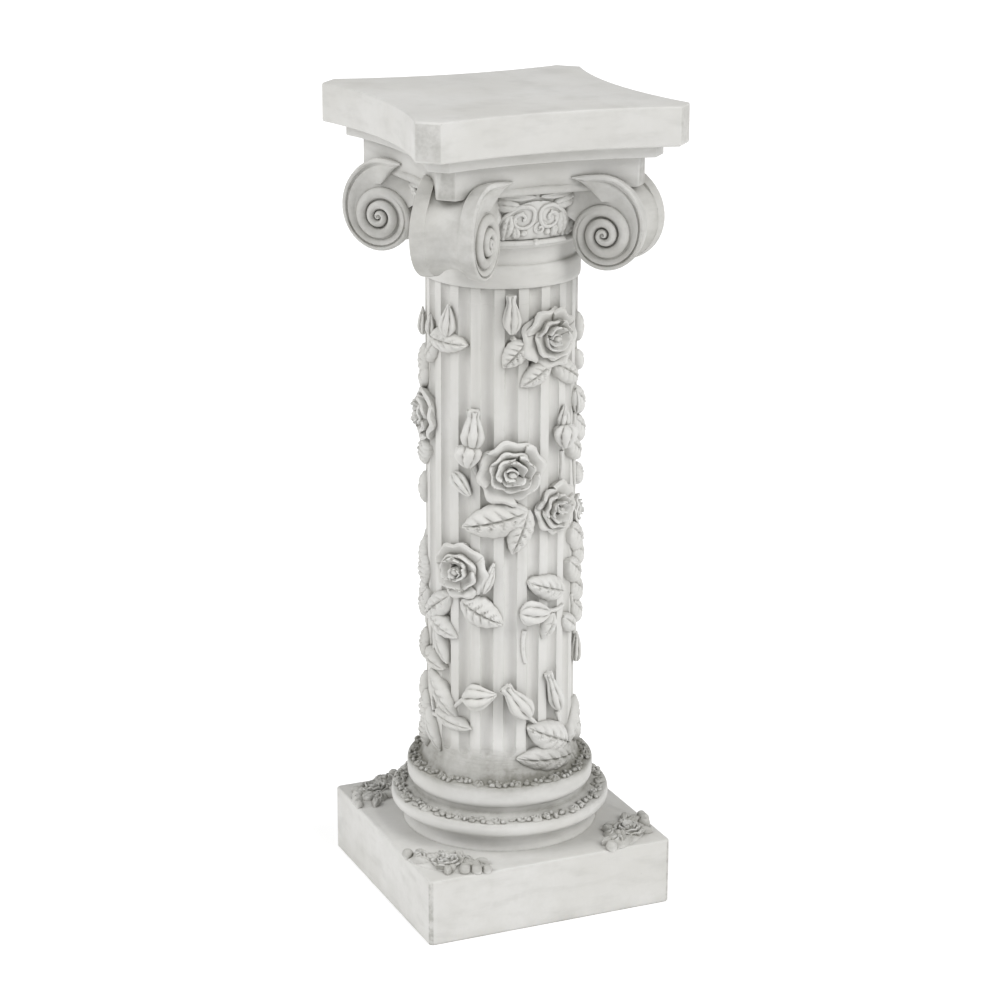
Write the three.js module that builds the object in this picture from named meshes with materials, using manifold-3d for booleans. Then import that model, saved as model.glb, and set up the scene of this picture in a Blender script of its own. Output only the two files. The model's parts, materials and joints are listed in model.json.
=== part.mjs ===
import * as THREE from 'three';
import { mergeVertices } from 'three/addons/utils/BufferGeometryUtils.js';
import Module from 'manifold-3d';

// Column pedestal, one casting. Millimetres, origin at the centre of the underside, +Z up,
// front face towards -Y. Angles round the shaft are degrees from the front, positive towards +X.

const HEIGHT = 760;
const ROUND_STEPS = 28;

// Plinth
const PLINTH_SIDE = 245;
const PLINTH_HEIGHT = 64;
const PLINTH_EDGE = 3;
const PLINTH_CORNER = 5;

// Base of two discs on the plinth
const BASE_FOOT_R = 92.5;
const LOWER_DISC_R = 103.4;
const LOWER_DISC_Z0 = 81;
const LOWER_DISC_Z1 = 95;
const DISC_NECK_R = 86;
const UPPER_DISC_R = 88.4;
const UPPER_DISC_Z0 = 107.5;
const UPPER_DISC_Z1 = 125;
const FLARE_R = 76;
const GARLAND_FLOWERS = 20;
const GARLAND_SIZE = 8;
const GARLAND_RISE = 7;
const GARLAND_SWELL = 2.5;

// Fluted shaft
const SHAFT_R = 69.5;
const FLUTE_COUNT = 20;
const FLUTE_R = 6.6;
const FLUTE_DEPTH = 4.6;
const FLUTE_PHASE = 2;
const FLUTE_Z0 = 149;
const COLLAR_Z0 = 596;
const COLLAR_Z1 = 617;
const COLLAR_R = 72;

// Bell of the capital
const NECK_R = 68;
const NECK_Z1 = 633;
const BEAD_Z = 637;
const BEAD_R = 74;
const BELL_R = 79;
const LEDGE_R = 86.5;
const LEDGE_Z = 688;

// Three slabs with hollow sides: corner reach, chamfered corner width, middle of a side
const TOP_SLAB = { z0: 724.2, z1: HEIGHT, reach: 130, cut: 112.6, middle: 114, edge: 4, rounding: 2 };
const MIDDLE_SLAB = { z0: 713, z1: 725.5, reach: 112.5, cut: 98, middle: 98, edge: 1, rounding: 1 };
const LOW_BLOCK = { z0: 685.5, z1: 715, reach: 100, cut: 87, middle: 84, edge: 2, rounding: 1 };

// Corner volutes, laid out along a diagonal from the axis
const EYE_S = 108;
const EYE_Z = 644.5;
const VOLUTE_R = 41;
const VOLUTE_TURNS = 3;
const VOLUTE_CURL = 1.15;
const VOLUTE_RISE = 13;
const VOLUTE_RISE_TURNS = 0.75;
const VOLUTE_HALF = 30;
const VOLUTE_WAIST = 0.14;
const VOLUTE_LIP = 0.04;
const VOLUTE_BAND = 9;
const CHANNEL_DEPTH = 5;
const CHANNEL_TURNS = 1.5;
const CHANNEL_START = -0.08;
const CHANNEL_TAPER = 0.2;
const ROLL_START = -0.1;
const ROLL_TURNS = 0.95;
const ROLL_STEPS = 10;
const CHANNEL_STEPS = 11;

// Ornament bedded in the ground it lies on
const BED = 6;
const BLADE_END = 0.2;

const wasm = await Module();
wasm.setup();
const WELD = 1e-4;

function signedVolume(positions, triangles) {
  const [a, b, c] = [new THREE.Vector3(), new THREE.Vector3(), new THREE.Vector3()];
  let sum = 0;
  for (let i = 0; i < triangles.length; i += 3) {
    a.fromArray(positions, 3 * triangles[i]);
    b.fromArray(positions, 3 * triangles[i + 1]);
    c.fromArray(positions, 3 * triangles[i + 2]);
    sum += a.dot(b.cross(c)) / 6;
  }
  return sum;
}

function solid(geometry) {
  geometry.deleteAttribute('normal');
  geometry.deleteAttribute('uv');
  const welded = mergeVertices(geometry, WELD);
  const vertProperties = new Float32Array(welded.attributes.position.array);
  const kept = [];
  const index = welded.index.array;
  for (let i = 0; i < index.length; i += 3) {
    const [p, q, r] = [index[i], index[i + 1], index[i + 2]];
    if (p !== q && q !== r && r !== p) kept.push(p, q, r);
  }
  if (signedVolume(vertProperties, kept) < 0) kept.reverse();
  const triVerts = new Uint32Array(kept);
  return new wasm.Manifold(new wasm.Mesh({ numProp: 3, vertProperties, triVerts }));
}

function eachPoint(geometry, move) {
  const position = geometry.attributes.position;
  const point = new THREE.Vector3();
  for (let i = 0; i < position.count; i += 1) {
    point.fromBufferAttribute(position, i);
    move(point);
    position.setXYZ(i, point.x, point.y, point.z);
  }
  return geometry;
}

function turned(profile, steps) {
  const points = profile.map(([r, z]) => new THREE.Vector2(r, z));
  return new THREE.LatheGeometry(points, steps).rotateX(Math.PI / 2);
}

function raised(shape, z0, z1, edge, curveSegments, bevelSegments) {
  const options = {
    depth: z1 - z0 - 2 * edge,
    bevelEnabled: true,
    bevelThickness: edge,
    bevelSize: edge,
    bevelOffset: -edge,
    bevelSegments,
    curveSegments,
  };
  return new THREE.ExtrudeGeometry(shape, options).translate(0, 0, z0 + edge);
}

// Plinth with eased edges
function plinth() {
  const half = PLINTH_SIDE / 2;
  const flat = half - PLINTH_CORNER;
  const shape = new THREE.Shape();
  const turns = [0, 1, 2, 3].map((k) => (k * Math.PI) / 2);
  for (const a of turns) {
    const spin = (x, y) => new THREE.Vector2(x, y).rotateAround(new THREE.Vector2(), a);
    const [from, corner, to] = [spin(half, flat), spin(half, half), spin(flat, half)];
    if (a === 0) shape.moveTo(from.x, from.y);
    else shape.lineTo(from.x, from.y);
    shape.quadraticCurveTo(corner.x, corner.y, to.x, to.y);
  }
  return solid(raised(shape, 0, PLINTH_HEIGHT, PLINTH_EDGE, 2, 2));
}

// Turned mouldings below the shaft; the two garlands swell and sink flower by flower
function base() {
  const lowerGarland = LOWER_DISC_Z1 + GARLAND_RISE;
  const upperGarland = UPPER_DISC_Z1 + GARLAND_RISE;
  const profile = [
    [0, PLINTH_HEIGHT - BED],
    [BASE_FOOT_R, PLINTH_HEIGHT - BED],
    [BASE_FOOT_R, PLINTH_HEIGHT + 4],
    [LOWER_DISC_R - 4, LOWER_DISC_Z0 - 5],
    [LOWER_DISC_R, LOWER_DISC_Z0 + 2],
    [LOWER_DISC_R, LOWER_DISC_Z1 - 1],
    [LOWER_DISC_R - GARLAND_SIZE, lowerGarland],
    [DISC_NECK_R + 1, LOWER_DISC_Z1 + 4],
    [DISC_NECK_R, UPPER_DISC_Z0 - 3],
    [UPPER_DISC_R, UPPER_DISC_Z0],
    [UPPER_DISC_R, UPPER_DISC_Z1 - 1],
    [UPPER_DISC_R - GARLAND_SIZE, upperGarland],
    [FLARE_R, UPPER_DISC_Z1 + 4],
    [FLARE_R - 4, UPPER_DISC_Z1 + 12],
    [SHAFT_R, FLUTE_Z0 - 3],
    [0, FLUTE_Z0 - 3],
  ];
  const mouldings = turned(profile, 2 * GARLAND_FLOWERS);
  eachPoint(mouldings, (p) => {
    if (p.z !== lowerGarland && p.z !== upperGarland) return;
    p.z += GARLAND_SWELL * Math.cos(GARLAND_FLOWERS * Math.atan2(p.y, p.x));
  });
  return solid(mouldings);
}

// Shaft with its grooves, one of them turned a little past the front centre line
function shaft() {
  const z0 = FLUTE_Z0 - 8;
  const z1 = COLLAR_Z0 + 6;
  const across = SHAFT_R / Math.cos(Math.PI / FLUTE_COUNT);
  const drum = new THREE.CylinderGeometry(across, across, z1 - z0, FLUTE_COUNT);
  let body = solid(drum.rotateX(Math.PI / 2).translate(0, 0, (z0 + z1) / 2));
  const centre = SHAFT_R - FLUTE_DEPTH + FLUTE_R;
  const length = z1 + FLUTE_R - FLUTE_Z0;
  for (let k = 0; k < FLUTE_COUNT; k += 1) {
    const groove = new THREE.CapsuleGeometry(FLUTE_R, length, 1, 6).rotateX(Math.PI / 2);
    groove.translate(0, -centre, FLUTE_Z0 + FLUTE_R + length / 2);
    groove.rotateZ((k * 2 * Math.PI) / FLUTE_COUNT + THREE.MathUtils.degToRad(FLUTE_PHASE));
    body = body.subtract(solid(groove));
  }
  return body;
}

// Collar, neck and bell
function bell() {
  const profile = [
    [0, COLLAR_Z0],
    [COLLAR_R - 1, COLLAR_Z0],
    [COLLAR_R, COLLAR_Z0 + 4],
    [COLLAR_R - 1, COLLAR_Z1],
    [NECK_R, COLLAR_Z1 + 1],
    [NECK_R, NECK_Z1],
    [BEAD_R, BEAD_Z],
    [NECK_R + 3, BEAD_Z + 5],
    [BELL_R - 3, LEDGE_Z - 22],
    [BELL_R, LEDGE_Z - 4],
    [LEDGE_R, LEDGE_Z - 2],
    [LEDGE_R - 1, LEDGE_Z + 5],
    [0, LEDGE_Z + 5],
  ];
  return solid(turned(profile, ROUND_STEPS));
}

// Square slab with hollow sides and clipped corners
function hollowSlab({ z0, z1, reach, cut, middle, edge, rounding }) {
  const shape = new THREE.Shape();
  const pull = 2 * middle - reach;
  for (let k = 0; k < 4; k += 1) {
    const turn = (x, y) => new THREE.Vector2(x, y).rotateAround(new THREE.Vector2(), (k * Math.PI) / 2);
    const [from, bend, to] = [turn(-cut, -reach), turn(0, -pull), turn(cut, -reach)];
    if (k === 0) shape.moveTo(from.x, from.y);
    else shape.lineTo(from.x, from.y);
    shape.quadraticCurveTo(bend.x, bend.y, to.x, to.y);
  }
  return solid(raised(shape, z0, z1, edge, 6, rounding));
}

// Point on the volute spiral, in turns from the top, at a distance inside its outer edge
function spiral(t, inset) {
  const r = VOLUTE_R * (1 - t / VOLUTE_TURNS) ** VOLUTE_CURL - inset;
  const rise = t < VOLUTE_RISE_TURNS ? VOLUTE_RISE * (1 - t / VOLUTE_RISE_TURNS) ** 2 : 0;
  const a = 2 * Math.PI * t;
  return new THREE.Vector2(EYE_S + r * Math.sin(a), EYE_Z + rise + r * Math.cos(a));
}

// One corner scroll: waisted roll with a spiral channel sunk in both faces
function volute(turn) {
  const root = NECK_R - 10;
  const outline = [];
  const rollStep = ROLL_TURNS / ROLL_STEPS;
  for (let i = 0; i <= ROLL_STEPS; i += 1) outline.push(spiral(ROLL_START + i * rollStep, 0));
  outline.push(new THREE.Vector2(root, EYE_Z + 26), new THREE.Vector2(root, LEDGE_Z + 6));
  const depth = 2 * VOLUTE_HALF;
  const options = { depth, steps: 4, bevelEnabled: false };
  const roll = new THREE.ExtrudeGeometry(new THREE.Shape(outline), options);
  eachPoint(roll, (p) => {
    const side = (p.z - VOLUTE_HALF) / VOLUTE_HALF;
    const reach = Math.abs(side);
    const shrink = reach > 0.9 ? VOLUTE_LIP : VOLUTE_WAIST * (1 - 2 * Math.min(reach, 0.5));
    const scale = p.x > root + 1 ? 1 - shrink : 1;
    p.x = EYE_S + (p.x - EYE_S) * scale;
    p.y = EYE_Z + (p.y - EYE_Z) * scale;
    p.z = VOLUTE_HALF * Math.sign(side) * (reach > 0.4 && reach < 0.6 ? 0.8 : reach);
  });
  let body = solid(roll.rotateX(Math.PI / 2).rotateZ(turn));
  const channel = [];
  const turnAt = (i) => CHANNEL_START + (CHANNEL_TURNS * i) / CHANNEL_STEPS;
  for (let i = 0; i <= CHANNEL_STEPS; i += 1) {
    channel.push(spiral(turnAt(i), VOLUTE_BAND * (1 - CHANNEL_TAPER * turnAt(i))));
  }
  for (let i = CHANNEL_STEPS; i >= 0; i -= 1) channel.push(spiral(1 + turnAt(i), 0));
  for (const side of [-1, 1]) {
    const sunk = { depth: 2 * CHANNEL_DEPTH, bevelEnabled: false };
    const cutter = new THREE.ExtrudeGeometry(new THREE.Shape(channel), sunk);
    cutter.translate(0, 0, side * VOLUTE_HALF - CHANNEL_DEPTH);
    body = body.subtract(solid(cutter.rotateX(Math.PI / 2).rotateZ(turn)));
  }
  return body;
}

// Leaf or bud lying along y with a ridge down its back and its sides bedded
function blade(length, width, height, swell) {
  const half = width / 2;
  const section = new THREE.Shape();
  section.moveTo(-half, -BED);
  section.lineTo(half, -BED);
  section.lineTo(half, 1);
  section.lineTo(0, height);
  section.lineTo(-half, 1);
  const body = new THREE.ExtrudeGeometry(section, { depth: length, steps: 3, bevelEnabled: false });
  return eachPoint(body, (p) => {
    const full = Math.max(BLADE_END, Math.sin(Math.PI * (p.z / length) ** swell));
    p.set(p.x * full, p.z, p.y > 1 ? p.y * full : p.y);
  });
}

// Lays a body drawn flat (x along the surface, y up, z outwards) on the shaft
function onShaft(geometry, angle, z, lift) {
  return eachPoint(geometry, (p) => {
    const a = THREE.MathUtils.degToRad(angle) + p.x / SHAFT_R;
    const r = SHAFT_R + p.z + lift;
    p.set(r * Math.sin(a), -r * Math.cos(a), z + p.y);
  });
}

// Blade from its foot to its tip, both given round the shaft
function sprig([angle0, z0, angle1, z1, width], height, swell) {
  const along = THREE.MathUtils.degToRad(angle1 - angle0) * SHAFT_R;
  const length = Math.hypot(along, z1 - z0);
  const body = blade(length, width, height, swell);
  return solid(onShaft(body.rotateZ(-Math.atan2(along, z1 - z0)), angle0, z0, 0));
}

// Open rose: a lobed outer tier and the closed heart, as shares of the rose radius
const ROSE_TIERS = [
  { reach: 1, edge: 0.24, top: 0.46, lobes: 5, turn: 0 },
  { reach: 0.58, edge: 0.5, top: 0.66, lobes: 3, turn: 0.6 },
];

function roseBody(radius) {
  return ROSE_TIERS.map(({ reach, edge, top, lobes, turn }) => {
    const r = reach * radius;
    const profile = [
      [0, -BED],
      [0.9 * r, -BED],
      [r, edge * radius],
      [0.55 * r, top * radius],
      [0, top * radius],
    ];
    const tier = turned(profile, 2 * lobes);
    return eachPoint(tier, (p) => {
      const lobe = 1 + 0.08 * Math.cos(lobes * (Math.atan2(p.y, p.x) - turn));
      p.x *= lobe;
      p.y *= lobe;
    });
  });
}

// Roses on the shaft: angle, height, radius
const ROSES = [
  [15, 549, 28],
  [-16, 427, 29],
  [21, 387, 23],
  [-55, 331, 27],
  [-101, 468, 25],
  [63, 372, 22],
  [160, 520, 25],
  [-160, 300, 25],
];

// Leaves on the shaft: foot angle and height, tip angle and height, width
const LEAVES = [
  [-88, 545, -50, 543, 18],
  [-5, 549, -22, 525, 19],
  [15, 527, -9, 507, 18],
  [18, 525, 50, 501, 18],
  [-3, 389, -52, 373, 26],
  [-3, 391, -15, 350, 20],
  [-54, 302, -22, 282, 23],
  [-64, 304, -96, 272, 20],
  [38, 151, -2, 178, 24],
  [47, 137, -10, 148, 22],
  [42, 149, 65, 186, 17],
  [32, 304, -3, 321, 20],
  [48, 308, 67, 284, 22],
  [140, 500, 120, 470, 18],
  [-150, 275, -130, 245, 18],
];
const LEAF_HEIGHT = 6;
const LEAF_SWELL = 0.85;

// Buds on the shaft: foot angle and height, tip angle and height, width
const BUDS = [
  [-65, 549, -64, 579, 15],
  [-16, 552, -17, 591, 15],
  [-44, 448, -43, 485, 16],
  [-36, 312, -28, 342, 11],
  [-50, 207, -27, 214, 18],
  [-2, 190, -20, 223, 17],
  [26, 189, 14, 229, 15],
  [13, 290, -9, 293, 17],
  [60, 252, 62, 222, 12],
];
const BUD_HEIGHT = 8;
const BUD_SWELL = 0.8;

function shaftOrnament() {
  const roses = ROSES.flatMap(([angle, z, radius]) =>
    roseBody(radius).map((tier) => solid(onShaft(tier, angle, z, 0))),
  );
  const leaves = LEAVES.map((leaf) => sprig(leaf, LEAF_HEIGHT, LEAF_SWELL));
  const buds = BUDS.map((bud) => sprig(bud, BUD_HEIGHT, BUD_SWELL));
  return [...roses, ...leaves, ...buds];
}

// Rose between two leaves on each corner of the plinth, set along the diagonal
const CORNER_S = 134;
const CORNER_ROSE_R = 16;
const CORNER_HEART = 0.6;
const CORNER_LEAF = { length: 34, width: 20, height: 7, aim: 2.0, across: 10, back: 5, lift: 2 };

function cornerCluster(turn) {
  const [petals] = roseBody(CORNER_ROSE_R);
  const heart = new THREE.OctahedronGeometry(CORNER_HEART * CORNER_ROSE_R);
  heart.translate(0, 0, 0.5 * CORNER_HEART * CORNER_ROSE_R);
  const bodies = [petals, heart].map((tier) => tier.translate(CORNER_S, 0, PLINTH_HEIGHT));
  const { length, width, height, aim, across, back, lift } = CORNER_LEAF;
  for (const side of [-1, 1]) {
    const leaf = blade(length, width, height, LEAF_SWELL).rotateZ(side * aim - Math.PI / 2);
    bodies.push(leaf.translate(CORNER_S - back, side * across, PLINTH_HEIGHT + lift));
  }
  return bodies.map((body) => solid(body.rotateZ(turn)));
}

// Panel between two volutes: a pair of curled leaves about a rosette
const PANEL_Z = 656;
const PANEL_SUNK = 4;
const ROSETTE_R = 10;
const CURL_LEAF = { length: 36, width: 18, height: 8, swell: 0.9, aim: 1.75, across: 3, up: 13 };
const LUMP = { r: 8, across: 26, down: 5 };

function panel(turn) {
  const lift = BELL_R - SHAFT_R - PANEL_SUNK;
  const bodies = [new THREE.OctahedronGeometry(ROSETTE_R)];
  const { length, width, height, swell, aim, across, up } = CURL_LEAF;
  for (const side of [-1, 1]) {
    bodies.push(blade(length, width, height, swell).rotateZ(side * aim).translate(side * across, up, 0));
    bodies.push(new THREE.OctahedronGeometry(LUMP.r).translate(side * LUMP.across, -LUMP.down, 0));
  }
  return bodies.map((body) => solid(onShaft(body, 0, PANEL_Z, lift).rotateZ(turn)));
}

const parts = [plinth(), base(), shaft(), bell(), ...[TOP_SLAB, MIDDLE_SLAB, LOW_BLOCK].map(hollowSlab)];
parts.push(...shaftOrnament());
for (let k = 0; k < 4; k += 1) {
  const quarter = (k * Math.PI) / 2;
  parts.push(volute(quarter + Math.PI / 4));
  parts.push(...cornerCluster(quarter + Math.PI / 4), ...panel(quarter));
}
const whole = parts.reduce((sum, part) => sum.add(part));
const mesh = whole.getMesh();
const geometry = new THREE.BufferGeometry();
geometry.setAttribute('position', new THREE.BufferAttribute(mesh.vertProperties, 3));
geometry.setIndex(new THREE.BufferAttribute(mesh.triVerts, 1));
geometry.computeVertexNormals();
const finish = new THREE.MeshStandardMaterial({ color: 0xdedcd6, roughness: 0.6, metalness: 0 });
const pedestal = new THREE.Mesh(geometry, finish);
pedestal.name = 'column_pedestal';
const group = new THREE.Group();
group.name = 'column_pedestal_part';
group.add(pedestal);

export default group;
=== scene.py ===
import json
import math

import bpy
import numpy as np
from mathutils import Matrix, Vector
from mathutils.geometry import tessellate_polygon

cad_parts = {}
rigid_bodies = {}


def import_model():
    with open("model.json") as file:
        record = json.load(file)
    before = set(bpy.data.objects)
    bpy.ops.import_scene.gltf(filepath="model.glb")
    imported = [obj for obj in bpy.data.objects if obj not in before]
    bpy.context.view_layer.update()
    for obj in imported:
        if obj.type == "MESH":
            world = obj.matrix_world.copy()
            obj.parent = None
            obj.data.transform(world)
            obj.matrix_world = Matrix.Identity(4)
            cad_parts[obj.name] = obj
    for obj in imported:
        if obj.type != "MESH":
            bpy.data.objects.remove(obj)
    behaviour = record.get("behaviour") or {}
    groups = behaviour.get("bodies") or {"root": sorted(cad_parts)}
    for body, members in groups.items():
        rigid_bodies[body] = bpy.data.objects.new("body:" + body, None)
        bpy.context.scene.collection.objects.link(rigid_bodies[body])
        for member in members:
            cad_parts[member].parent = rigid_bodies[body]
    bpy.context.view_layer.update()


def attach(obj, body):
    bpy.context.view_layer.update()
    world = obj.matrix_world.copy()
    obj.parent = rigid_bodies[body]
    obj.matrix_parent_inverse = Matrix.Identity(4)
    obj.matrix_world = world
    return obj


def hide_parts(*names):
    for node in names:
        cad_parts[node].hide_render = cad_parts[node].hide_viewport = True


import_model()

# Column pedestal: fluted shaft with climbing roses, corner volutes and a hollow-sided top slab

# Sizes in millimetres, scaled to metres once, when a mesh is made. Angles round the shaft are degrees
# from the front (-Y), positive towards +X.
MM = 0.001
HEIGHT = 760.0
rng = np.random.default_rng(11)

# Plinth
PLINTH_HALF = 122.5
PLINTH_HEIGHT = 64.0
PLINTH_EDGE = 2.0
PLINTH_CORNER = 3.0
PLINTH_EASE = 0.4 * PLINTH_CORNER

# Base of two discs
BASE_FOOT_R = 92.5
COVE_R = 88.0
LOWER_DISC_R = 103.4
LOWER_DISC_Z0 = 84.0
LOWER_DISC_Z1 = 95.0
DISC_NECK_R = 83.0
UPPER_DISC_R = 88.4
UPPER_DISC_Z0 = 107.5
UPPER_DISC_Z1 = 125.0
FLARE_R = 76.0

# Fluted shaft
SHAFT_R = 69.5
FLUTE_COUNT = 20
FLUTE_DEPTH = 4.6
FLUTE_SHARE = 0.58
FLUTE_FULLNESS = 0.7
FLUTE_PHASE = 2.0
FLUTE_Z0 = 149.0
FLUTE_END = 7.0
# Where one flute and its fillet are drawn, in shares of their pitch: closest at the edges of the groove
FLUTE_POINTS = [-0.5, -0.42, -0.34, -0.29, -0.265, -0.22, -0.14, -0.05,
                0.05, 0.14, 0.22, 0.265, 0.29, 0.34, 0.42]
COLLAR_Z0 = 596.0
COLLAR_Z1 = 617.0
COLLAR_R = 72.0

# Capital
NECK_R = 68.0
NECK_Z1 = 633.0
BEAD_Z = 637.0
BEAD_R = 73.5
BELL_R = 79.0
LEDGE_Z = 688.0
BELL_FOOT_R = NECK_R + 3
BELL_FOOT_Z = 642.0
BELL_SWELL_R = BELL_R - 3
BELL_SWELL_Z = LEDGE_Z - 22
BELL_RIM_Z = LEDGE_Z - 4
TOP_SLAB = dict(z0=724.2, z1=HEIGHT, reach=130.0, cut=112.6, middle=114.0, edge=2.2)
MIDDLE_SLAB = dict(z0=713.0, z1=726.5, reach=112.5, cut=98.0, middle=98.0, edge=1.0)
LOW_BLOCK = dict(z0=685.5, z1=715.0, reach=100.0, cut=87.0, middle=84.0, edge=1.2)
LEDGE_BAR = dict(z0=682.5, z1=690.5, reach=90.0, cut=70.0, middle=86.5, edge=3.6)
SLAB_EASE = 1.0
SLAB_POINTS = 15

# Corner volutes, laid out along a diagonal: distance from the axis, across, height
EYE_S = 108.0
EYE_Z = 644.5
VOLUTE_R = 41.0
VOLUTE_TURNS = 4.2
VOLUTE_CURL = 1.6
VOLUTE_RISE = 13.0
VOLUTE_RISE_TURNS = 0.75
VOLUTE_HALF = 30.0
VOLUTE_START = -0.115
VOLUTE_STOP = 4.0
VOLUTE_FLARE = 13.0
FLARE_CURVE = 1.7
FLARE_END = 0.12
TIP_LENGTH = 0.085
TIP_SHARE = 0.08
TIP_DROOP = 0.45
BAND_SHARE = 0.88
LIP_WIDTH = 4.6
LIP_LIMITS = (0.2, 0.4)
LINE_DEPTH = 1.7
LINE_STOP = 0.95
LINE_SLOPES = (8.0, 3.0)
EYE_SWELL = 3.0
EYE_SIZE = (2.6, 3.2, 2.6)
CHANNEL_DEPTH = 3.0
TIP_DISH = 0.7
# Start and length, in turns, of the swell to the eye and of the change to the inner section of the band
SWELL_TURNS = (0.7, 1.6)
INNER_TURNS = (0.45, 0.5)
DISH_TURNS = 0.3
ROLL_STOP = 0.8
ROLL_INSET = 1.2
RIM_WIDTH = 14.0
RIM_FADE = 0.16
WAIST_STEP = 1.7
STEP_SOFT = 1.5
WAIST_DEPTH = 6.0

# How deep ornament is bedded in the ground it lies on
BED = 6.0
# Edges: narrow flat margin that keeps a rounded one from shading the face beside it, steps of its quarter
# round, least turn of a corner that is eased in plan, and passes and share of the cuts that round a profile
HOLD = 0.6
EDGE_STEPS = 4
SHARP_CORNER = 15.0
ROUND_PASSES = 2
ROUND_CUT = 0.2
SMOOTH_ANGLE = 38.0
MOST_TRIANGLES = 195000


# Mesh builders: a body is a pair of arrays, points and triangles, closed and facing out

def circle(count):
    """Angles evenly round a circle."""
    return np.linspace(0, 2 * np.pi, count, endpoint=False)


def outward(points, triangles):
    """Turns the triangles round if they face in."""
    a, b, c = (points[triangles[:, k]] for k in range(3))
    volume = np.einsum("ij,ij->", a, np.cross(b, c))
    return points, triangles if volume > 0 else triangles[:, ::-1]


def split(quads):
    """Two triangles from each row of four corners."""
    quads = np.asarray(quads).reshape(-1, 4)
    return np.vstack([quads[:, [0, 1, 2]], quads[:, [0, 2, 3]]])


def loft(rows, fan=True):
    """Body through a stack of loops; its ends are closed from their middles, or as bare outlines."""
    rows = np.asarray(rows, float)
    count, around, _ = rows.shape
    grid = np.arange(count * around).reshape(count, around)
    step = np.roll(grid, -1, axis=1)
    walls = split(np.stack([grid[:-1], step[:-1], step[1:], grid[1:]], -1))
    points = rows.reshape(-1, 3)
    ends = []
    for row, ahead in ((0, False), (count - 1, True)):
        if fan:
            middle = np.full(around, len(points))
            cap = np.stack([grid[row], step[row], middle], -1)
            points = np.vstack([points, rows[row].mean(0)])
            runs_ahead = True
        else:
            cap = np.array(tessellate_polygon([[Vector(point) for point in rows[row]]])) + grid[row, 0]
            edges = np.vstack([cap[:, [0, 1]], cap[:, [1, 2]], cap[:, [2, 0]]])
            runs_ahead = bool(np.any((edges[:, 0] == grid[row, 0]) & (edges[:, 1] == grid[row, 1])))
        ends.append(cap if runs_ahead == ahead else cap[:, ::-1])
    return outward(points, np.vstack([walls, *ends]))


def sheet(top, bottom):
    """Body between two surfaces given on the same grid, closed round the edge."""
    rows, columns, _ = top.shape
    size = rows * columns
    grid = np.arange(size).reshape(rows, columns)
    a, b, c, d = grid[:-1, :-1], grid[1:, :-1], grid[1:, 1:], grid[:-1, 1:]
    upper = split(np.stack([a, b, c, d], -1))
    lower = split(np.stack([a, d, c, b], -1)) + size
    rim = np.concatenate([grid[0, :-1], grid[:-1, -1], grid[-1, :0:-1], grid[:0:-1, 0]])
    ahead = np.roll(rim, -1)
    walls = split(np.stack([rim, ahead, ahead + size, rim + size], -1))
    points = np.vstack([top.reshape(-1, 3), bottom.reshape(-1, 3)])
    return outward(points, np.vstack([upper, lower, walls]))


def dome(radius, height_at, rings, around, floor):
    """Body over a round plan: height_at(share of radius, angle) above, flat floor below."""
    share = np.linspace(0, 1, rings + 1)[1:]
    angle = circle(around)
    share, angle = np.meshgrid(share, angle, indexing="ij")
    reach = radius(angle) * share
    height = height_at(share, angle)
    loops = np.stack([reach * np.cos(angle), reach * np.sin(angle), height], -1)
    foot = loops[-1:].copy()
    foot[..., 2] = floor
    tip = loops[:1] * [0.05, 0.05, 0] + [0, 0, height_at(np.zeros(1), np.zeros(1))[0]]
    return loft(np.concatenate([foot, loops[::-1], tip]))


def tube(path, radius, around=8):
    """Round body along a path of points, its radius given at each point."""
    path = np.asarray(path, float)
    radius = np.broadcast_to(radius, len(path))
    ahead = np.gradient(path, axis=0)
    ahead /= np.linalg.norm(ahead, axis=1)[:, None]
    side = np.cross(ahead, [0.0, 0.0, 1.0])
    side /= np.maximum(np.linalg.norm(side, axis=1), 1e-6)[:, None]
    lift = np.cross(side, ahead)
    angle = circle(around)
    ring = np.cos(angle)[None, :, None] * side[:, None] + np.sin(angle)[None, :, None] * lift[:, None]
    return loft(path[:, None] + radius[:, None, None] * ring)


def ball(centre, size, around=8):
    """Small lump with its half axes in size."""
    rows = np.linspace(-0.5, 0.5, 7)[1:-1] * np.pi
    angle = circle(around)
    loops = np.stack([np.cos(rows)[:, None] * np.cos(angle), np.cos(rows)[:, None] * np.sin(angle),
                      np.repeat(np.sin(rows)[:, None], around, 1)], -1)
    return loft(loops * size + centre)


def placed(body, move):
    """The body with every point moved by a function, still facing out."""
    points, triangles = body
    return outward(move(points), triangles)


def turned(profile, around):
    """Body turned about the column axis from pairs of radius and height."""
    angle = circle(around)
    ring = np.stack([np.sin(angle), -np.cos(angle)], -1)
    rows = [np.column_stack([ring * r, np.full(around, z)]) for r, z in profile]
    return loft(rows)


def rounded(profile):
    """A profile with its corners cut again and again until they read as round."""
    line = np.array(profile, float)
    for _ in range(ROUND_PASSES):
        near = (1 - ROUND_CUT) * line[:-1] + ROUND_CUT * line[1:]
        far = ROUND_CUT * line[:-1] + (1 - ROUND_CUT) * line[1:]
        line = np.vstack([line[:1], np.stack([near, far], 1).reshape(-1, 2), line[-1:]])
    return line


def spun(points, degrees):
    """Points turned about the upright axis through the origin."""
    a = math.radians(degrees)
    turn = np.array([[math.cos(a), -math.sin(a), 0], [math.sin(a), math.cos(a), 0], [0, 0, 1]])
    return points @ turn.T


def on_column(angle, z, ground):
    """Move that lays a body drawn flat (x along the surface, y up, z out) on a round ground."""
    def move(points):
        high = z + points[:, 1]
        base = ground(high)
        a = math.radians(angle) + points[:, 0] / ground(z)
        r = base + points[:, 2]
        return np.column_stack([r * np.sin(a), -r * np.cos(a), high])
    return move


def shaft_ground(z):
    return np.full(np.shape(z), SHAFT_R)


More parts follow.
